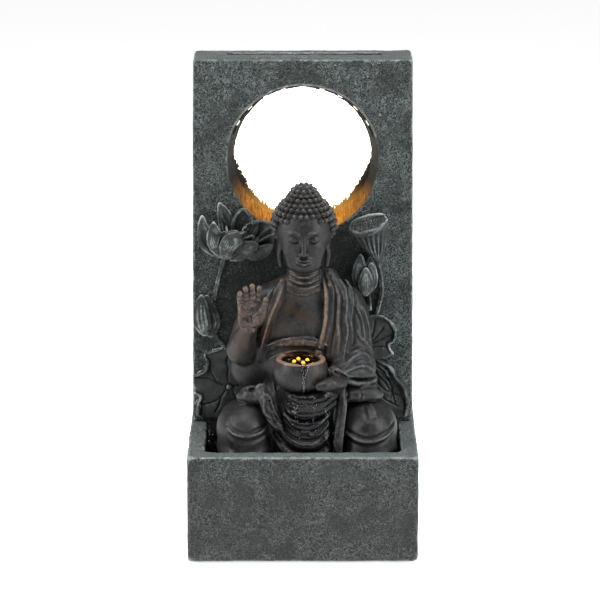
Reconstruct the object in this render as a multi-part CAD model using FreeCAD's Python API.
"""Tabletop water fountain: a seated figure with an alms bowl in a stone-look basin, in front of a
tower with a round lit window where a curtain of water falls.

Sizes are in millimetres. The frame is +Z up with the front towards -Y, and the origin is at the
centre of the footprint, on the surface that the fountain stands on.
"""
import FreeCAD, Part
import math
import os
from FreeCAD import Matrix, Placement, Rotation, Vector

# ---------------------------------------------------------------- driving dimensions
HEIGHT = 495.0                 # floor to the tower's top
DEPTH = 164.0                  # basin's front to the tower's back
FRONT, BACK = -DEPTH / 2, DEPTH / 2
FOOT_LIFT = 2.0                # gap under the basin, made by the rubber feet
BASIN_TOP = 114.0              # height of the basin's rim
BASIN_TOP_WIDTH, BASIN_FOOT_WIDTH = 232.0, 233.0
RIM = 17.0                     # thickness of the basin's walls
BASIN_FLOOR = 12.0
TOWER_FRONT = 30.0             # the tower's front face, on Y
TOWER_FOOT_WIDTH, TOWER_TOP_WIDTH = 228.0, 220.0
WALL = 7.0                     # thickness of the cast tower walls
SLAB_BACK = TOWER_FRONT + 10.0  # where the front panel meets the rear shell
GAP = 0.3                      # clearance between castings that are bonded or sit together

WINDOW_Z = 391.5               # centre of the round window
WINDOW_FRONT_R, WINDOW_BACK_R = 77.0, 69.0
WINDOW_BACK = 58.0             # where the conical recess ends, on Y
RING_WALL = 5.0
RAIN_Y = 52.0                  # the water curtain falls in this plane
SLIT_HALF, SLIT_WIDTH = 62.0, 6.0

DECK_Z = 62.0                  # top of the plate that carries the figure
LAP_TOP = 168.0                # the torso casting starts here
FIG_X = 1.0                    # the figure sits a little right of the basin's centre
BOWL_X, BOWL_Y = -2.0, -38.0
BOWL_FOOT, BOWL_BELLY, BOWL_RIM = 168.0, 191.0, 205.0
BOWL_BELLY_R, BOWL_RIM_R, BOWL_MOUTH_R = 27.4, 23.5, 19.0

TUBE_R, TUBE_BORE_R = 4.5, 3.0
LEAD_R = 1.6
PUMP_X0, PUMP_X1 = -14.0, 26.0  # pump body, along the impeller's axis
PUMP_Y0, PUMP_Y1 = 31.0, 61.0
PUMP_Z0, PUMP_Z1 = 16.0, 54.0
PUMP_AXIS_Y, PUMP_AXIS_Z = 46.0, 35.0
TEE_X, TEE_Z = -6.0, 72.0
RISER_X = 91.0                 # the riser tube runs up beside the window

HATCH_HALF, HATCH_Z0, HATCH_Z1 = 70.0, 122.0, 292.0   # service opening in the back
COVER_REBATE = 8.0             # how far the cover laps over the opening's edge
COVER_T = 3.5



# ---------------------------------------------------------------- shape helpers
def box(x0, x1, y0, y1, z0, z1):
    return Part.makeBox(x1 - x0, y1 - y0, z1 - z0, Vector(x0, y0, z0))


def cylinder(radius, start, end):
    start, end = Vector(*start), Vector(*end)
    return Part.makeCylinder(radius, (end - start).Length, start, end - start)


def cone(r_start, r_end, start, end):
    start, end = Vector(*start), Vector(*end)
    if abs(r_start - r_end) < 1e-6:
        return cylinder(r_start, start, end)
    return Part.makeCone(r_start, r_end, (end - start).Length, start, end - start)


def sphere(radius, centre):
    return Part.makeSphere(radius, Vector(*centre))


def ellipsoid(centre, radii):
    stretch = Matrix()
    stretch.A11, stretch.A22, stretch.A33 = radii
    shape = Part.makeSphere(1.0).transformGeometry(stretch)
    shape.translate(Vector(*centre))
    return shape


def fuse(shapes):
    first, rest = shapes[0], shapes[1:]
    return first.fuse(rest).removeSplitter() if rest else first


def limb(start, end, r_start, r_end):
    """A round-ended tapering limb."""
    return fuse([cone(r_start, r_end, start, end), sphere(r_start, start), sphere(r_end, end)])


def turned(points, centre):
    """A solid of revolution about a vertical axis, from (radius, z) points of its half outline."""
    line = Part.makePolygon([Vector(r, 0, z) for r, z in points + [points[0]]])
    solid = Part.Face(line).revolve(Vector(0, 0, 0), Vector(0, 0, 1), 360)
    solid.translate(Vector(centre[0], centre[1], 0))
    return solid


def place(shape, origin, axis_angle=((0, 0, 1), 0.0)):
    """A copy turned about the frame's origin and then moved."""
    axis, angle = axis_angle
    copy = shape.copy()
    copy.Placement = Placement(Vector(*origin), Rotation(Vector(*axis), angle)).multiply(copy.Placement)
    return copy


def frustum_box(half_foot, half_top, y0, y1, z0, z1):
    """A box whose two sides lean in towards the top."""
    def wire(half, z):
        corners = [(-half, y0), (half, y0), (half, y1), (-half, y1), (-half, y0)]
        return Part.makePolygon([Vector(x, y, z) for x, y in corners])
    return Part.makeLoft([wire(half_foot, z0), wire(half_top, z1)], True, True)


def ellipse_loft(sections):
    """A smooth body through horizontal ellipses given as (z, centre x, centre y, rx, ry)."""
    wires = []
    for z, cx, cy, rx, ry in sections:
        major = Vector(1, 0, 0) if rx >= ry else Vector(0, 1, 0)
        centre = Vector(cx, cy, z)
        minor = Vector(0, 0, 1).cross(major)
        curve = Part.Ellipse(centre + major * max(rx, ry), centre + minor * min(rx, ry), centre)
        wires.append(Part.Wire(curve.toShape()))
    return Part.makeLoft(wires, True, False)


def rounded_route(points):
    """A wire of straight runs joined by tangent arcs, each as large as its two runs allow."""
    pts = [Vector(*p) for p in points]
    edges, last = [], pts[0]
    for i in range(1, len(pts) - 1):
        back, ahead = pts[i - 1] - pts[i], pts[i + 1] - pts[i]
        reach = 0.45 * min(back.Length, ahead.Length)
        start, end = pts[i] + back * (reach / back.Length), pts[i] + ahead * (reach / ahead.Length)
        half_turn = (math.pi - back.getAngle(ahead)) / 2
        radius = reach / math.tan(half_turn)
        bisector = (back * (1 / back.Length) + ahead * (1 / ahead.Length)).normalize()
        centre = pts[i] + bisector * (radius / math.cos(half_turn))
        middle = centre + (pts[i] - centre).normalize() * radius
        edges.append(Part.LineSegment(last, start).toShape())
        edges.append(Part.Arc(start, middle, end).toShape())
        last = end
    edges.append(Part.LineSegment(last, pts[-1]).toShape())
    return Part.Wire(edges)


def swept(points, radius, bore=0.0):
    """A round tube or lead along a route, with an optional bore."""
    path = rounded_route(points)
    heading = Vector(*points[1]) - Vector(*points[0])

    def along(r):
        section = Part.Wire(Part.makeCircle(r, Vector(*points[0]), heading))
        return path.makePipeShell([section], True, False)
    solid = along(radius)
    return solid.cut(along(bore)) if bore else solid


def spindle(length, radius):
    """A bud: a pointed round body with its foot at the origin, running up +Z."""
    outline = [(0.45, 0.0), (0.85, 0.18), (1.0, 0.42), (0.72, 0.72), (0.12, 1.0)]
    points = [(radius * share, length * height) for share, height in outline]
    side = Part.BSplineCurve()
    side.interpolate([Vector(r, 0, z) for r, z in points])
    rest = Part.makePolygon([Vector(points[-1][0], 0, length), Vector(0, 0, length), Vector(0, 0, 0),
                             Vector(points[0][0], 0, 0)])
    face = Part.Face(Part.Wire([side.toShape()] + rest.Edges))
    return face.revolve(Vector(0, 0, 0), Vector(0, 0, 1), 360)


def blob(points, depth, y_back):
    """A plate with a smooth closed outline through (x, z) points, standing out from the wall."""
    outline = Part.BSplineCurve()
    outline.interpolate([Vector(x, y_back, z) for x, z in points], PeriodicFlag=True)
    return Part.Face(Part.Wire(outline.toShape())).extrude(Vector(0, -depth, 0))


def before_wall(shape):
    """Trims relief so that its back lies flat on the tower's front face."""
    behind = box(-150, 150, TOWER_FRONT - 0.05, 200, 0, 600)
    return shape.cut(behind)


NODES = {}


def node(name, shape):
    NODES[name] = shape
    return shape


# ---------------------------------------------------------------- basin
def make_basin():
    half_foot, half_top = BASIN_FOOT_WIDTH / 2, BASIN_TOP_WIDTH / 2
    outer = frustum_box(half_foot, half_top, FRONT, BACK, FOOT_LIFT, BASIN_TOP)
    upright = [e for e in outer.Edges if abs(e.Vertexes[0].Z - e.Vertexes[1].Z) > 50]
    outer = outer.makeFillet(5.0, upright)
    inner_half = half_top - RIM
    pool = box(-inner_half, inner_half, FRONT + RIM, BACK - RIM, BASIN_FLOOR, BASIN_TOP + 1)
    pool = pool.makeFillet(8.0, [e for e in pool.Edges if abs(e.Vertexes[0].Z - e.Vertexes[1].Z) > 50])
    body = outer.cut(pool)
    ledges = []
    for side in (-1, 1):
        for y in (FRONT + RIM, 4.0):
            near, far = side * (inner_half + 1), side * (inner_half - 15)
            ledges.append(box(min(near, far), max(near, far), y - 1, y + 15, 48, DECK_Z - 4))
    body = fuse([body] + ledges)
    for x, y in FEET:
        body = body.cut(cylinder(FOOT_R + 0.2, (x, y, 0), (x, y, 4.2)))
    return body.cut(cylinder(6.1, (INLET_X, BACK - 30, INLET_Z), (INLET_X, BACK + 1, INLET_Z)))


FOOT_R = 9.0
FEET = [(sx * 92.0, sy * 58.0) for sx in (-1, 1) for sy in (-1, 1)]
INLET_X, INLET_Z = -70.0, 100.0    # the low-voltage inlet sits above the water line

node("basin_casting", make_basin())
node("rubber_feet", Part.makeCompound([cylinder(FOOT_R, (x, y, 0), (x, y, 4.0)) for x, y in FEET]))


def make_deck():
    """The perforated plate under the figure. Water drains through it to the pump."""
    plate = box(-88, 88, FRONT + RIM + 2, 24, DECK_Z - 4, DECK_Z)
    holes = [cylinder(3.0, (x, y, DECK_Z - 6), (x, y, DECK_Z + 2))
             for x in (-81, -69, 69, 81) for y in (-52, -36, -20, -4, 12)]
    holes += [cylinder(3.0, (x, -58, DECK_Z - 6), (x, -58, DECK_Z + 2)) for x in range(-50, 51, 20)]
    return plate.cut(holes)


node("deck_plate", make_deck())

# ---------------------------------------------------------------- tower: front panel
window_axis = ((0, TOWER_FRONT, WINDOW_Z), (0, WINDOW_BACK, WINDOW_Z))


def make_front_panel():
    """The slab with the round window. Its conical recess runs back to the lit dish."""
    z_share = (TOWER_FOOT_WIDTH - TOWER_TOP_WIDTH) / 2
    slab = frustum_box(TOWER_FOOT_WIDTH / 2, TOWER_FOOT_WIDTH / 2 - z_share,
                       TOWER_FRONT, SLAB_BACK, BASIN_TOP, HEIGHT)
    skirt_half = BASIN_TOP_WIDTH / 2 - RIM - 0.6
    skirt = box(-skirt_half, skirt_half, TOWER_FRONT, TOWER_FRONT + 6, 86, BASIN_TOP)
    ring = cone(WINDOW_FRONT_R + RING_WALL, WINDOW_BACK_R + RING_WALL, *window_axis)
    body = fuse([slab, skirt, ring])
    body = body.cut(cone(WINDOW_FRONT_R, WINDOW_BACK_R, *window_axis))
    body = body.cut(cylinder(WINDOW_FRONT_R + 0.1, (0, TOWER_FRONT - 1, WINDOW_Z),
                             (0, TOWER_FRONT + 0.2, WINDOW_Z)))
    # a shallow groove for the light strip, over the top half of the recess
    groove = cylinder(STRIP_R + 0.4, (0, STRIP_Y0 - 0.3, WINDOW_Z), (0, STRIP_Y1 + 0.3, WINDOW_Z))
    body = body.cut(groove.common(box(-90, 90, 0, 80, STRIP_FOOT - 1, 500)))
    # the rain falls through one slit at the top and drains through another at the bottom
    body = body.cut(box(-SLIT_HALF, SLIT_HALF, RAIN_Y - SLIT_WIDTH / 2, RAIN_Y + SLIT_WIDTH / 2,
                        WINDOW_Z + 20, TROUGH_Z0))
    body = body.cut(box(-DRAIN_HALF, DRAIN_HALF, RAIN_Y - SLIT_WIDTH / 2, RAIN_Y + SLIT_WIDTH / 2,
                        WINDOW_Z - WINDOW_FRONT_R - 10, WINDOW_Z - 50))
    for x, z in FIGURE_BOLTS:
        body = body.cut(cylinder(2.3, (x, TOWER_FRONT - 1, z), (x, SLAB_BACK + 1, z)))
    return body.cut(swept(MOON_LEAD_ROUTE[:3], LEAD_R + GAP))


STRIP_R, STRIP_T = 77.6, 1.6
STRIP_Y0, STRIP_Y1 = 33.0, 41.0
STRIP_FOOT = WINDOW_Z + 26.0
TROUGH_Z0, TROUGH_Z1 = 475.0, 486.5
DRAIN_HALF = 22.0
FIGURE_BOLTS = [(-24.0, 235.0), (26.0, 235.0), (1.0, 190.0)]
MOON_LEAD_ROUTE = [(-72.0, 37.0, 416.0), (-81.0, 46.5, 410.0), (-92.0, 54.0, 385.0), (-96.0, 58.0, 340.0),
                   (-98.0, 60.0, 280.0), (-96.0, 60.0, 220.0), (-94.0, 58.0, 160.1)]

node("front_panel", make_front_panel())


# ---------------------------------------------------------------- tower: rear shell and cover
def tower_half(z):
    share = (z - BASIN_TOP) / (HEIGHT - BASIN_TOP)
    return (TOWER_FOOT_WIDTH + share * (TOWER_TOP_WIDTH - TOWER_FOOT_WIDTH)) / 2


SLOT_X0, SLOT_X1, SLOT_Y0, SLOT_Y1 = -76.0, 80.0, 60.0, 67.0
COVER_SCREWS = [(sx * (HATCH_HALF + 3.5), z) for sx in (-1, 1) for z in (HATCH_Z0 + 12, HATCH_Z1 - 12)]


def make_rear_shell():
    """Sides, top and back of the tower, with the slot over the trough and the service opening."""
    outer = frustum_box(tower_half(BASIN_TOP), tower_half(HEIGHT), SLAB_BACK, BACK, BASIN_TOP, HEIGHT)
    inner = frustum_box(tower_half(BASIN_TOP) - WALL, tower_half(HEIGHT) - WALL,
                        SLAB_BACK - 1, BACK - WALL, BASIN_TOP - 1, HEIGHT - WALL)
    body = outer.cut(inner)
    body = body.cut(box(SLOT_X0, SLOT_X1, SLOT_Y0, SLOT_Y1, HEIGHT - WALL - 1, HEIGHT + 1))
    body = body.cut(box(-HATCH_HALF, HATCH_HALF, BACK - WALL - 1, BACK + 1, HATCH_Z0, HATCH_Z1))
    rebate = box(-HATCH_HALF - COVER_REBATE, HATCH_HALF + COVER_REBATE, BACK - COVER_T - 0.7, BACK + 1,
                 HATCH_Z0 - COVER_REBATE + 2, HATCH_Z1 + COVER_REBATE)
    body = body.cut(rebate)
    bosses = [cylinder(4.0, (x, BACK - WALL - 7, z), (x, BACK - WALL + 1, z)) for x, z in COVER_SCREWS]
    body = fuse([body] + bosses)
    for x, z in COVER_SCREWS:
        body = body.cut(cylinder(1.85, (x, BACK - WALL - 8, z), (x, BACK + 1, z)))
    return body


node("rear_shell", make_rear_shell())


def make_cover():
    lap = COVER_REBATE - 0.6
    plate = box(-HATCH_HALF - lap, HATCH_HALF + lap, BACK - COVER_T, BACK, HATCH_Z0 - lap + 2, HATCH_Z1 + lap)
    plate = plate.makeFillet(1.0, [e for e in plate.Edges if abs(e.Vertexes[0].Y - BACK) < 0.01
                                   and abs(e.Vertexes[1].Y - BACK) < 0.01])
    vents = [box(-30, 30, BACK - 10, BACK + 5, z, z + 3) for z in range(255, 283, 7)]
    plate = plate.cut(vents)
    for x, z in COVER_SCREWS:
        plate = plate.cut(cylinder(1.9, (x, BACK - 10, z), (x, BACK + 1, z)))
        plate = plate.cut(cone(1.9, 3.6, (x, BACK - 2.0, z), (x, BACK + 0.01, z)))
    return plate


def screw(start, end, shank_r, head_r, head_t):
    """A countersunk screw, head at start."""
    start, end = Vector(*start), Vector(*end)
    way = (end - start).normalize()
    neck = start + way * head_t
    head = cone(head_r, shank_r, tuple(start), tuple(neck))
    return fuse([head, cylinder(shank_r, tuple(neck), tuple(end))])


node("rear_cover", make_cover())
node("cover_screws", Part.makeCompound(
    [screw((x, BACK - 0.2, z), (x, BACK - WALL - 6, z), 1.5, 3.2, 1.7) for x, z in COVER_SCREWS]))


# ---------------------------------------------------------------- lit window
def make_dish():
    """A shallow dish of gold leaf on resin that closes the window's back."""
    rim = WINDOW_BACK_R + 4.0
    sag = 6.0
    radius = (rim ** 2 + sag ** 2) / (2 * sag)
    y_centre = WINDOW_BACK + 2.0 + sag - radius
    outer = sphere(radius + 2.0, (0, y_centre, WINDOW_Z))
    inner = sphere(radius, (0, y_centre, WINDOW_Z))
    drum = cylinder(rim, (0, WINDOW_BACK + 0.1, WINDOW_Z), (0, WINDOW_BACK + 14, WINDOW_Z))
    return outer.cut(inner).common(drum)


node("moon_dish", make_dish())


def make_strip():
    outer = cylinder(STRIP_R, (0, STRIP_Y0, WINDOW_Z), (0, STRIP_Y1, WINDOW_Z))
    inner = cylinder(STRIP_R - STRIP_T, (0, STRIP_Y0 - 1, WINDOW_Z), (0, STRIP_Y1 + 1, WINDOW_Z))
    return outer.cut(inner).common(box(-90, 90, 0, 80, STRIP_FOOT, 500))


def make_chips():
    chips = []
    for step in range(-4, 5):
        inner = STRIP_R - STRIP_T
        chip = box(-2.5, 2.5, STRIP_Y0 + 1.5, STRIP_Y1 - 1.5, inner - 1.4, inner - 0.3)
        chip.rotate(Vector(0, 0, 0), Vector(0, 1, 0), step * 15.0)
        chip.translate(Vector(0, 0, WINDOW_Z))
        chips.append(chip)
    return Part.makeCompound(chips)


node("moon_light_strip", make_strip())
node("moon_light_chips", make_chips())


# ---------------------------------------------------------------- water curtain
TROUGH_X0, TROUGH_X1, TROUGH_Y0, TROUGH_Y1 = -80.0, 80.0, 46.0, 69.0


def make_trough():
    """An open channel under the slot. A row of fine holes lets the rain fall in front of the dish."""
    outer = box(TROUGH_X0, TROUGH_X1, TROUGH_Y0, TROUGH_Y1, TROUGH_Z0 + GAP, TROUGH_Z1)
    inner = box(TROUGH_X0 + 2, TROUGH_X1 - 2, TROUGH_Y0 + 2, TROUGH_Y1 - 2, TROUGH_Z0 + 2, TROUGH_Z1 + 1)
    body = outer.cut(inner)
    holes = [cylinder(0.8, (x, RAIN_Y, TROUGH_Z0 - 1), (x, RAIN_Y, TROUGH_Z0 + 3)) for x in range(-56, 57, 8)]
    return body.cut(holes).cut(cylinder(TUBE_BORE_R, (TROUGH_X1 - 3, RISER_Y, RISER_TOP),
                                          (TROUGH_X1 + 1, RISER_Y, RISER_TOP)))


RISER_Y, RISER_TOP = 60.0, 480.5
node("rain_trough", make_trough())


def make_elbow():
    """A barbed elbow from the riser tube into the trough's end."""
    start, corner = (TROUGH_X1 - 2, RISER_Y, RISER_TOP), (RISER_X, RISER_Y, RISER_TOP)
    flange = cylinder(4.6, (TROUGH_X1, RISER_Y, RISER_TOP), (TROUGH_X1 + 2, RISER_Y, RISER_TOP))
    body = fuse([swept([start, corner, (RISER_X, RISER_Y, RISER_TOP - 12)], TUBE_BORE_R), flange])
    bore_start, bore_end = (TROUGH_X1 - 3, RISER_Y, RISER_TOP), (RISER_X, RISER_Y, RISER_TOP - 13)
    return body.cut(swept([bore_start, corner, bore_end], 2.0))


node("trough_elbow", make_elbow())


def make_collector():
    """A funnel under the window's drain slit."""
    top, foot = 316.5, 300.0
    outer = box(-DRAIN_HALF - 5, DRAIN_HALF + 5, WINDOW_BACK - 10.5, WINDOW_BACK - 1, foot, top)
    inner = box(-DRAIN_HALF - 3, DRAIN_HALF + 3, WINDOW_BACK - 8.5, WINDOW_BACK - 3, foot + 2, top + 1)
    spout = cylinder(3.0, (0, WINDOW_BACK - 5.7, foot - 10), (0, WINDOW_BACK - 5.7, foot + 1))
    body = fuse([outer, spout]).cut(inner)
    body = body.cut(cylinder(2.0, (0, WINDOW_BACK - 5.7, foot - 11), (0, WINDOW_BACK - 5.7, foot + 3)))
    ring = cone(WINDOW_FRONT_R + RING_WALL + GAP, WINDOW_BACK_R + RING_WALL + GAP, *window_axis)
    return body.cut(ring)


node("rain_collector", make_collector())
node("return_tube", cylinder(TUBE_R, (0, WINDOW_BACK - 5.7, 104), (0, WINDOW_BACK - 5.7, 299.5)).cut(
    cylinder(TUBE_BORE_R + 0.05, (0, WINDOW_BACK - 5.7, 103), (0, WINDOW_BACK - 5.7, 300))))

# ---------------------------------------------------------------- pump, its axis along X
CHAMBER_R, ROTOR_R, SHAFT_R = 10.5, 5.2, 1.0
INTAKE_R = 5.0
WELL_END = PUMP_X0 + 34.0


def pump_rod(radius, x0, x1):
    """A cylinder on the impeller's axis."""
    return cylinder(radius, (x0, PUMP_AXIS_Y, PUMP_AXIS_Z), (x1, PUMP_AXIS_Y, PUMP_AXIS_Z))


def along_x(shape, shortest):
    """The edges of a box that run along X."""
    return [e for e in shape.Edges if abs(e.Vertexes[0].X - e.Vertexes[-1].X) > shortest]


def make_pump_body():
    core = box(PUMP_X0, PUMP_X1, PUMP_Y0, PUMP_Y1, PUMP_Z0, PUMP_Z1)
    core = core.makeFillet(3.0, along_x(core, 20))
    outlet = cylinder(3.6, (TEE_X, PUMP_AXIS_Y, PUMP_Z1 - 2), (TEE_X, PUMP_AXIS_Y, PUMP_Z1 + 9))
    outlet_bore = cylinder(2.4, (TEE_X, PUMP_AXIS_Y, PUMP_AXIS_Z + 3), (TEE_X, PUMP_AXIS_Y, PUMP_Z1 + 10))
    stator_well = box(PUMP_X0 + 13, PUMP_X1 - 3, PUMP_Y0 + 3, PUMP_Y1 - 3, PUMP_AXIS_Z + 8, PUMP_Z1 - 3)
    hollows = [pump_rod(CHAMBER_R, PUMP_X0 - 1, PUMP_X0 + 9), pump_rod(ROTOR_R + 0.6, PUMP_X0, WELL_END),
               stator_well, outlet_bore]
    return fuse([core, outlet]).cut(hollows)


node("pump_body", make_pump_body())
stator = box(PUMP_X0 + 13.2, PUMP_X1 - 3.2, PUMP_Y0 + 3.2, PUMP_Y1 - 3.2, PUMP_AXIS_Z + 8, PUMP_Z1 - 3.2)
node("pump_stator", stator)
node("impeller_shaft", pump_rod(SHAFT_R, PUMP_X0 + 0.5, WELL_END))


def make_impeller():
    """A magnet rotor with six straight blades in the pump's chamber."""
    hub = pump_rod(ROTOR_R, PUMP_X0 + 1.5, PUMP_X0 + 32)
    blades = []
    for i in range(6):
        blade = box(PUMP_X0 + 1.5, PUMP_X0 + 8, -0.6, 0.6, ROTOR_R - 2, CHAMBER_R - 1.2)
        blade.rotate(Vector(0, 0, 0), Vector(1, 0, 0), i * 60.0)
        blade.translate(Vector(0, PUMP_AXIS_Y, PUMP_AXIS_Z))
        blades.append(blade)
    return fuse([hub] + blades).cut(pump_rod(SHAFT_R + 0.05, PUMP_X0, PUMP_X0 + 33))


node("impeller", make_impeller())


def make_volute_cover():
    """The disc that closes the chamber, with a bar across the intake that carries the shaft."""
    disc = pump_rod(CHAMBER_R, PUMP_X0 - GAP, PUMP_X0 + 0.8).cut(pump_rod(INTAKE_R, PUMP_X0 - 2, PUMP_X0 + 2))
    reach = INTAKE_R + 0.5
    bar = box(PUMP_X0 - GAP, PUMP_X0 + 0.5, PUMP_AXIS_Y - 1, PUMP_AXIS_Y + 1,
              PUMP_AXIS_Z - reach, PUMP_AXIS_Z + reach)
    return fuse([disc, bar])


node("volute_cover", make_volute_cover())

STRAINER_X0 = PUMP_X0 - 15.0


STEM_R = 2.05


def make_strainer():
    """The slotted cap over the pump's intake. It pulls off to clean the filter."""
    cap = box(STRAINER_X0, PUMP_X0 - 2 * GAP, PUMP_Y0, PUMP_Y1, PUMP_Z0, PUMP_Z1)
    cap = cap.makeFillet(3.0, along_x(cap, 10))
    cap = cap.cut(box(STRAINER_X0 + 2, PUMP_X0 + 1, PUMP_Y0 + 2, PUMP_Y1 - 2, PUMP_Z0 + 2, PUMP_Z1 - 2))
    for z in range(20, 50, 4):
        cap = cap.cut(box(STRAINER_X0 - 1, STRAINER_X0 + 3, PUMP_Y0 + 4, PUMP_AXIS_Y - 8, z, z + 2))
        cap = cap.cut(box(STRAINER_X0 - 1, STRAINER_X0 + 3, PUMP_AXIS_Y + 8, PUMP_Y1 - 4, z, z + 2))
    return cap.cut(pump_rod(STEM_R + 0.05, STRAINER_X0 - 1, STRAINER_X0 + 3))


def make_sponge():
    inset = 2.0
    block = box(STRAINER_X0 + 5.3, PUMP_X0 - 2.0, PUMP_Y0 + inset, PUMP_Y1 - inset,
                PUMP_Z0 + inset, PUMP_Z1 - inset)
    return block.cut(pump_rod(INTAKE_R, STRAINER_X0, PUMP_X0))


def make_flow_knob():
    """The regulator on the strainer: a disc with a pointer, a stem and a shutter behind the grille."""
    disc = pump_rod(7.0, STRAINER_X0 - 2.8, STRAINER_X0 - GAP)
    pointer = box(STRAINER_X0 - 4.6, STRAINER_X0 - 2.5, PUMP_AXIS_Y - 1, PUMP_AXIS_Y + 1,
                  PUMP_AXIS_Z - 6, PUMP_AXIS_Z + 6)
    shutter = pump_rod(7.0, STRAINER_X0 + 2 + GAP, STRAINER_X0 + 4.2)
    return fuse([disc, pointer, pump_rod(STEM_R, STRAINER_X0 - 1, STRAINER_X0 + 3), shutter])


node("pump_strainer", make_strainer())
node("filter_sponge", make_sponge())
node("flow_knob", make_flow_knob())


def make_cups():
    """Four rubber suckers that hold the pump on the basin's floor."""
    foot = BASIN_FLOOR
    outline = [(0, foot + 1.0), (6.0, foot), (6.0, foot + 0.9), (2.2, foot + 3.0), (2.2, PUMP_Z0),
               (0, PUMP_Z0)]
    return Part.makeCompound([turned(outline, (x, y)) for x in CUP_X for y in (PUMP_Y0 + 6, PUMP_Y1 - 6)])


CUP_X = (PUMP_X0 + 6, PUMP_X1 - 6)
node("suction_cups", make_cups())

# ---------------------------------------------------------------- tubes
def make_tee():
    """The fitting on the pump's outlet that feeds the two tubes."""
    centre = (TEE_X, PUMP_AXIS_Y, TEE_Z)
    socket = cylinder(5.2, (TEE_X, PUMP_AXIS_Y, PUMP_Z1 + 0.4), (TEE_X, PUMP_AXIS_Y, TEE_Z + 4))
    front, side = (TEE_X, PUMP_AXIS_Y - 15, TEE_Z), (TEE_X + 18, PUMP_AXIS_Y, TEE_Z)
    body = fuse([socket, cylinder(TUBE_BORE_R, centre, front), cylinder(TUBE_BORE_R, centre, side)])
    seat = cylinder(3.6, (TEE_X, PUMP_AXIS_Y, PUMP_Z1), (TEE_X, PUMP_AXIS_Y, PUMP_Z1 + 9))
    rise = cylinder(2.0, (TEE_X, PUMP_AXIS_Y, PUMP_Z1), centre)
    return body.cut([seat, rise, cylinder(1.9, centre, (TEE_X, PUMP_AXIS_Y - 16, TEE_Z)),
                     cylinder(1.9, centre, (TEE_X + 19, PUMP_AXIS_Y, TEE_Z))])


node("tee_fitting", make_tee())
node("bowl_tube", swept([(TEE_X, PUMP_AXIS_Y - 6, TEE_Z), (TEE_X, 14.0, TEE_Z), (BOWL_X, BOWL_Y, TEE_Z + 6),
                         (BOWL_X, BOWL_Y, 166.0)], TUBE_R, TUBE_BORE_R))
RISER_ROUTE = [(TEE_X + 6, PUMP_AXIS_Y, TEE_Z), (62.0, PUMP_AXIS_Y, TEE_Z), (RISER_X, 56.0, 120.0),
               (RISER_X, RISER_Y, 200.0), (RISER_X, RISER_Y, RISER_TOP - 6)]
node("riser_tube", swept(RISER_ROUTE, TUBE_R, TUBE_BORE_R))


def make_tube_clips():
    """Three saddles on the back wall that hold the riser tube."""
    clips = []
    for z in (230.0, 330.0, 430.0):
        block = box(RISER_X - 7, RISER_X + 7, RISER_Y - 3, BACK - WALL, z, z + 8)
        clips.append(block.cut(cylinder(TUBE_R, (RISER_X, RISER_Y, z - 1), (RISER_X, RISER_Y, z + 9))))
    return Part.makeCompound(clips)


node("tube_clips", make_tube_clips())

# ---------------------------------------------------------------- bowl with its light
BOWL_OUTLINE = [(0, BOWL_FOOT), (13, BOWL_FOOT), (20, BOWL_FOOT + 4), (25.5, BOWL_FOOT + 12),
                (BOWL_BELLY_R, BOWL_BELLY), (26.2, BOWL_BELLY + 7), (BOWL_RIM_R + 0.8, BOWL_RIM - 2),
                (BOWL_RIM_R - 1.2, BOWL_RIM)]
BOWL_INSIDE = [(BOWL_MOUTH_R + 0.6, BOWL_RIM), (BOWL_MOUTH_R, BOWL_RIM - 1.5), (22.5, BOWL_BELLY + 4),
               (22.5, BOWL_BELLY - 6), (17, BOWL_FOOT + 6), (0, BOWL_FOOT + 6)]
SPOUT_R, PUCK_R, LAMP_R = 3.6, 12.0, 1.9
PUCK_Z0, PUCK_Z1 = BOWL_FOOT + 14, BOWL_FOOT + 32
LEAD_HOLE_X = BOWL_X + 9.0


def above_bowl_foot(radius, angle):
    """A point in the bowl's plan, at a distance and an angle in degrees from its middle."""
    turn = math.radians(angle)
    return BOWL_X + radius * math.cos(turn), BOWL_Y + radius * math.sin(turn)


def make_bowl():
    """The alms bowl. A dip in its lip sends the water down one side of the front."""
    bowl = turned(BOWL_OUTLINE + BOWL_INSIDE, (BOWL_X, BOWL_Y))
    dip = BOWL_X + 3.0
    bowl = bowl.cut(cylinder(2.5, (dip, BOWL_Y - 30, BOWL_RIM + 0.7), (dip, BOWL_Y - 15, BOWL_RIM + 0.7)))
    low, high = BOWL_FOOT - 1, BOWL_FOOT + 8
    return bowl.cut([cylinder(SPOUT_R, (BOWL_X, BOWL_Y, low), (BOWL_X, BOWL_Y, high)),
                     cylinder(LEAD_R, (LEAD_HOLE_X, BOWL_Y, low), (LEAD_HOLE_X, BOWL_Y, high))])


def make_puck():
    """A round sealed light on three short feet, with the spout through its middle."""
    puck = cylinder(PUCK_R, (BOWL_X, BOWL_Y, PUCK_Z0), (BOWL_X, BOWL_Y, PUCK_Z1))
    puck = puck.cut(cylinder(SPOUT_R, (BOWL_X, BOWL_Y, PUCK_Z0 - 1), (BOWL_X, BOWL_Y, PUCK_Z1 + 1)))
    legs = []
    for angle in (60, 180, 300):
        x, y = above_bowl_foot(10, angle)
        legs.append(cylinder(1.8, (x, y, BOWL_FOOT + 6), (x, y, PUCK_Z0 + 0.5)))
    return fuse([puck] + legs)


def make_lamps():
    lamps = []
    for angle in (20, 110, 200, 290):
        x, y = above_bowl_foot(7, angle)
        base = cylinder(LAMP_R, (x, y, PUCK_Z1), (x, y, PUCK_Z1 + 1.2))
        dome = sphere(LAMP_R, (x, y, PUCK_Z1 + 1.2)).common(box(-40, 40, -80, 0, PUCK_Z1 + 1.2, PUCK_Z1 + 5))
        lamps.append(fuse([base, dome]))
    return Part.makeCompound(lamps)


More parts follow.
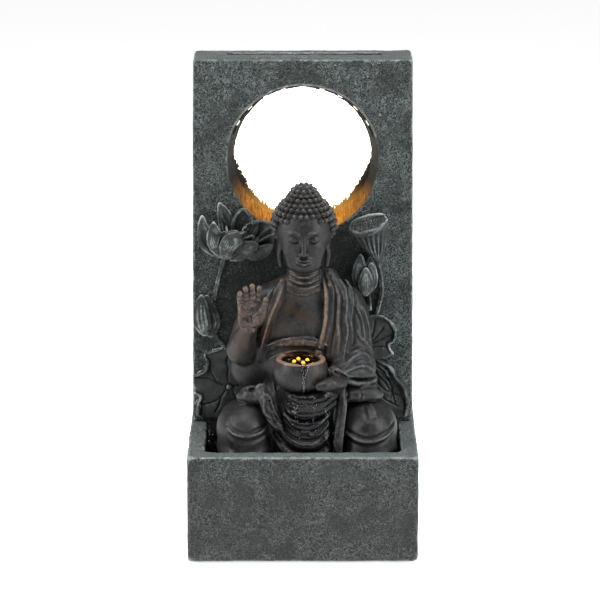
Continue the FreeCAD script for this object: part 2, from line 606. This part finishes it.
def make_spout():
    """A short pipe through the bowl's foot, stepped at the bottom to take the tube."""
    foot = BOWL_FOOT - 8
    pipe = cylinder(SPOUT_R, (BOWL_X, BOWL_Y, BOWL_FOOT), (BOWL_X, BOWL_Y, PUCK_Z1 + 1.5))
    barb = cylinder(TUBE_BORE_R, (BOWL_X, BOWL_Y, foot), (BOWL_X, BOWL_Y, BOWL_FOOT + 1))
    return fuse([pipe, barb]).cut(cylinder(2.2, (BOWL_X, BOWL_Y, foot - 1), (BOWL_X, BOWL_Y, PUCK_Z1 + 2)))


node("alms_bowl", make_bowl())
node("light_puck", make_puck())
node("bowl_lamps", make_lamps())
node("bowl_spout", make_spout())

# ---------------------------------------------------------------- seated figure
CHANNEL = box(-10, 13, BOWL_Y - 8, BOWL_Y + 8, 100, BOWL_FOOT)
HOLLOW = box(-60, 66, -44, TOWER_FRONT + 1, DECK_Z - 1, 108)


def make_lap():
    """Crossed legs under the robe, hollow from below like any casting."""
    left_knee = ellipsoid((-57.5, -24.0, 126.0), (29.0, 37.0, 37.0))
    right_knee = ellipsoid((67.5, -24.0, 126.0), (28.5, 37.0, 38.0))
    drape = ellipsoid((FIG_X + 3, -22.0, 118.0), (44.0, 40.5, 54.0))
    hips = ellipsoid((FIG_X + 3, 2.0, 130.0), (60.0, 27.0, 52.0))
    seat = box(-74, 84, -50, TOWER_FRONT - GAP, DECK_Z, 118)
    seat = seat.makeFillet(12.0, [e for e in seat.Edges if abs(e.Vertexes[0].Z - e.Vertexes[1].Z) > 30])
    body = fuse([seat, left_knee, right_knee, drape, hips])
    body = body.common(box(-98, 98, FRONT + RIM + 1, TOWER_FRONT - GAP, DECK_Z, LAP_TOP))
    return body




def make_torso():
    """Chest, shoulders and neck."""
    sections = [(LAP_TOP - 8, FIG_X + 1, 3, 50, 25), (195, FIG_X + 1, 3, 51, 25.5), (225, FIG_X, 4, 56, 25),
                (250, FIG_X, 5, 57, 21), (266, FIG_X, 4, 40, 18), (276, FIG_X, 0, 21, 16),
                (288, FIG_X, -4, 17, 15)]
    return ellipse_loft(sections).common(box(-90, 90, -80, TOWER_FRONT - GAP, LAP_TOP - 8, 300))


def chest_hollow():
    return ellipse_loft([(100, FIG_X + 1, 5, 38, 15), (195, FIG_X + 1, 5, 41, 16), (225, FIG_X, 6, 44, 15),
                         (246, FIG_X, 7, 36, 9)])


def make_raised_arm():
    arm = fuse([limb((-46, 6, 246), (-60, -6, 204), 15.5, 14.0),
                limb((-61, -10, 203), (-53, -27, 230), 14.5, 8.5)])
    return arm.common(box(-98, 98, -80, TOWER_FRONT - GAP, LAP_TOP + 10, 300))


def make_sleeve():
    """The robe's wide sleeve over the other arm, with its mouth towards the bowl."""
    sleeve = fuse([limb((50, 5, 244), (53, -8, 196), 17.0, 18.0),
                   cone(18.0, 14.0, (53, -8, 194), (38, -34, 184))])
    return sleeve.common(box(-98, 98, -80, TOWER_FRONT - GAP, LAP_TOP - 4, 300))


def make_figure_body():
    """Lap, torso, raised arm and sleeve in one hollow casting, open underneath."""
    body = fuse([make_lap(), make_torso(), make_raised_arm(), make_sleeve()])
    body = body.cut([CHANNEL, bowl_hull(), HOLLOW, chest_hollow()])
    for x, z in FIGURE_BOLTS:
        body = body.cut(cylinder(1.6, (x, 16.9, z), (x, TOWER_FRONT + 1, z)))
    return max(body.Solids, key=lambda s: s.Volume)


def bowl_hull():
    """The space that the bowl takes up, with a little clearance."""
    outline = [(0, BOWL_FOOT), (13.3, BOWL_FOOT), (20.4, BOWL_FOOT + 3.8), (25.9, BOWL_FOOT + 11.8),
               (BOWL_BELLY_R + 0.5, BOWL_BELLY), (26.7, BOWL_BELLY + 7), (24.5, BOWL_RIM), (0, BOWL_RIM)]
    return turned(outline, (BOWL_X, BOWL_Y))


figure_body = node("figure_body", make_figure_body())


def make_raised_hand():
    """An open palm facing the front, four fingers up and the thumb beside them."""
    palm = fuse([limb((-60, -30, 262), (-55, -29, 243), 5.6, 6.5),
                 limb((-44, -30, 262), (-48, -29, 243), 5.6, 6.5),
                 limb((-52, -30, 262), (-52, -29, 240), 6.2, 7.5)])
    fingers = [limb((x, -30, 262), (x - 0.5, -34, tip), 3.6, 3.1)
               for x, tip in ((-61.5, 267), (-56.5, 273.5), (-50, 277.5), (-43.5, 276))]
    thumb = limb((-43, -32, 248), (-37, -34, 262), 4.0, 3.2)
    hand = fuse([palm] + fingers + [thumb])
    return max(hand.cut(figure_body).Solids, key=lambda s: s.Volume)


node("raised_hand", make_raised_hand())


def make_bowl_hand():
    """The hand that cups the bowl from below, its fingers side by side in front."""
    palm = ellipsoid((16, -42, 165), (18, 16, 11))
    thumb = limb((31, -44, 176), (19, -62, 184), 5.5, 4.5)
    fingers = [limb((24, -52, z), (-10, -60, z - 1.5), 4.6, 3.8) for z in (166, 159, 152)]
    hand = fuse([palm, thumb] + fingers)
    hand = hand.cut([bowl_hull(), CHANNEL, figure_body])
    return max(hand.Solids, key=lambda s: s.Volume)


node("bowl_hand", make_bowl_hand())


def make_head():
    """Head with the hair cap and its topknot."""
    hair = ellipsoid((FIG_X, -5, 339), (30.0, 31.0, 29.0))
    topknot = ellipsoid((FIG_X, -1, 361), (17.0, 17.0, 15.5))
    face = ellipsoid((FIG_X, -13, 314), (22.5, 23.0, 28.0))
    ears = [ellipsoid((FIG_X + side * 24.5, -3, 311), (3.6, 6.0, 19.0)) for side in (-1, 1)]
    head = fuse([hair, topknot, face] + ears).cut(figure_body)
    return max(head.Solids, key=lambda s: s.Volume)


node("figure_head", make_head())


def make_bolt(x, z):
    """A bolt from inside the tower into the figure's back."""
    shank = cylinder(1.6, (x, 17, z), (x, SLAB_BACK + 0.1, z))
    return fuse([shank, cylinder(4.0, (x, SLAB_BACK + 0.05, z), (x, SLAB_BACK + 3, z))])


node("figure_bolts", Part.makeCompound([make_bolt(x, z) for x, z in FIGURE_BOLTS]))


# ---------------------------------------------------------------- relief on the front panel
def make_lotus():
    """An open lotus: broad petals that fan up and out from a low centre."""
    heart = (-58.0, 22.0, 303.0)
    petals = []
    sizes = ((-62, 16, 43, 25), (-36, 14, 44, 22), (-12, 12, 43, 22), (10, 10, 38, 20), (-50, 42, 34, 26),
             (-18, 46, 32, 24))
    for tilt, lean, length, width in sizes:
        petal = cone(width / 2, 2.0, (0, 0, 0), (0, 0, length)).common(box(-30, 30, -2.2, 2.2, 2, length))
        petal.rotate(Vector(0, 0, 0), Vector(1, 0, 0), lean)
        petal.rotate(Vector(0, 0, 0), Vector(0, 1, 0), tilt)
        petal.translate(Vector(*heart))
        petals.append(petal)
    core = sphere(12.0, (-59, 22, 306))
    return before_wall(fuse([core] + petals))


node("lotus_flower", make_lotus())


def make_pod():
    """A seed head: a flared cup with a flat top full of seeds."""
    foot, top = Vector(77, 22, 288), Vector(66, 15, 331)
    way = (top - foot).normalize()
    cup = cone(5.5, 19.5, tuple(foot), tuple(top))
    lip = cylinder(20.0, tuple(top), tuple(top + way * 2.5))
    seeds = [cylinder(2.2, tuple(top + Vector(r * math.cos(a), r * math.sin(a) * 0.9, 0) + way * 2),
                      tuple(top + Vector(r * math.cos(a), r * math.sin(a) * 0.9, 0) + way * 4.5))
             for r, n in ((0.0, 1), (7.0, 5), (14.0, 9)) for a in [2 * math.pi * k / n for k in range(n)]]
    return max(before_wall(fuse([cup, lip] + seeds)).Solids, key=lambda s: s.Volume)


node("seed_pod", make_pod())
left_bud = before_wall(place(spindle(42, 9.0), (-94, 25.5, 210), ((0, 1, 0), -14)))
node("left_bud", left_bud)
right_bud = before_wall(place(spindle(40, 11.5), (66, 24, 254), ((0, 1, 0), -8)))
node("right_bud", right_bud)
LEFT_LEAF = [(-112, 152), (-108, 176), (-98, 186), (-86, 196), (-66, 193), (-52, 182), (-46, 160), (-52, 138),
             (-66, 122), (-84, 117), (-104, 121)]
RIGHT_UPPER_LEAF = [(70, 228), (84, 230), (96, 216), (92, 204), (93, 189), (84, 180), (76, 186), (73, 205)]
RIGHT_LOWER_LEAF = [(76, 180), (86, 178), (98, 166), (109, 148), (108, 128), (96, 119), (84, 122), (80, 145)]
node("left_leaf", blob(LEFT_LEAF, 5.0, TOWER_FRONT - 0.05))
node("right_upper_leaf", blob(RIGHT_UPPER_LEAF, 5.0, TOWER_FRONT - 0.05))
node("right_lower_leaf", blob(RIGHT_LOWER_LEAF, 5.0, TOWER_FRONT - 0.05))
LEFT_STEM = [(-74, 27, 292), (-82, 28, 276), (-87, 28, 258), (-88, 28, 236), (-84, 28, 214), (-80, 28, 198)]
LEFT_BRANCH = [(-94.5, 27.5, 213), (-92, 28, 204), (-88, 28, 196)]
RIGHT_STEM = [(77, 26, 292), (83, 27, 276), (84, 28, 258), (82, 28, 240), (81, 28, 228)]
RIGHT_BRANCH = [(66, 26, 258), (69, 28, 246), (75, 28, 236), (81, 28, 230)]


def make_stems(routes, neighbours):
    """Round stems half sunk in the wall, stopped at the plants they carry."""
    stems = fuse([before_wall(swept(route, radius)) for route, radius in routes])
    return stems.cut([NODES[name] for name in neighbours])


node("left_stems", make_stems([(LEFT_STEM, 2.6), (LEFT_BRANCH, 2.4)],
                              ["lotus_flower", "left_bud", "left_leaf"]))
node("right_stems", make_stems([(RIGHT_STEM, 2.8), (RIGHT_BRANCH, 2.2)],
                               ["seed_pod", "right_bud", "right_upper_leaf"]))

# ---------------------------------------------------------------- low-voltage wiring
inlet_axis = ((INLET_X, BACK - 26, INLET_Z), (INLET_X, BACK + 0.0, INLET_Z))
node("power_inlet", cylinder(6.0, *inlet_axis).cut(
    cylinder(2.75, (INLET_X, BACK - 10, INLET_Z), (INLET_X, BACK + 1, INLET_Z))))
node("inlet_pin", cylinder(1.0, (INLET_X, BACK - 9.95, INLET_Z), (INLET_X, BACK - 1.0, INLET_Z)))
inlet_nut = cylinder(9.0, (INLET_X, BACK - RIM - 3.5, INLET_Z), (INLET_X, BACK - RIM - 0.1, INLET_Z))
node("inlet_nut", inlet_nut.cut(cylinder(6.15, (INLET_X, BACK - 30, INLET_Z), (INLET_X, BACK, INLET_Z))))
SPLICE_X0, SPLICE_X1, SPLICE_Z0, SPLICE_Z1 = -104.0, -84.0, 128.0, 160.0
node("splice_box", box(SPLICE_X0, SPLICE_X1, 48, 68, SPLICE_Z0, SPLICE_Z1))
splice_pad = box(SPLICE_X0 - 5, SPLICE_X0, 50, 66, SPLICE_Z0 + 3, SPLICE_Z1 - 3)
node("splice_pad", splice_pad.cut(NODES["rear_shell"]))


def lead(name, route, ends):
    """A jacketed lead whose two ends stop at the faces of the parts they enter."""
    node(name, swept(route, LEAD_R).cut([NODES[end] for end in ends]))


lead("inlet_lead", [(INLET_X, BACK - 26, INLET_Z), (INLET_X, 50.0, INLET_Z + 2), (-88, 50, 112),
                    (-92, 54, SPLICE_Z0)], ["power_inlet", "splice_box"])
lead("pump_lead", [(PUMP_X1, 52, 45), (PUMP_X1 + 14, 54, 50), (PUMP_X1 + 12, 60, 76), (10, 62, 96),
                   (-40, 61, 106), (-80, 58, 114), (-89, 61, SPLICE_Z0)], ["pump_body", "splice_box"])
lead("moon_lead", MOON_LEAD_ROUTE[:-1] + [(-94, 58, SPLICE_Z1)], ["splice_box"])
lead("bowl_lead", [(LEAD_HOLE_X, BOWL_Y, PUCK_Z0), (LEAD_HOLE_X, BOWL_Y, 130), (LEAD_HOLE_X, -34, 84),
                   (14, -6, 70), (18, 24, 70), (22, 40, 82), (10, 58, 90), (-40, 55, 100), (-76, 48, 120),
                   (SPLICE_X1, 58, 144)], ["splice_box"])

# ---------------------------------------------------------------- write one file per node
if __name__ == "__main__":
    os.makedirs("parts", exist_ok=True)
    for name, shape in NODES.items():
        solids = shape.Solids
        shape = solids[0] if len(solids) == 1 else Part.makeCompound(solids)
        shape.exportStep("parts/" + name + ".step")
        extent = shape.BoundBox
        print(name, "solids", len(solids), "valid", shape.isValid(), "cm3", round(shape.Volume / 1000, 2),
              "size mm", round(extent.XLength, 1), round(extent.YLength, 1), round(extent.ZLength, 1))
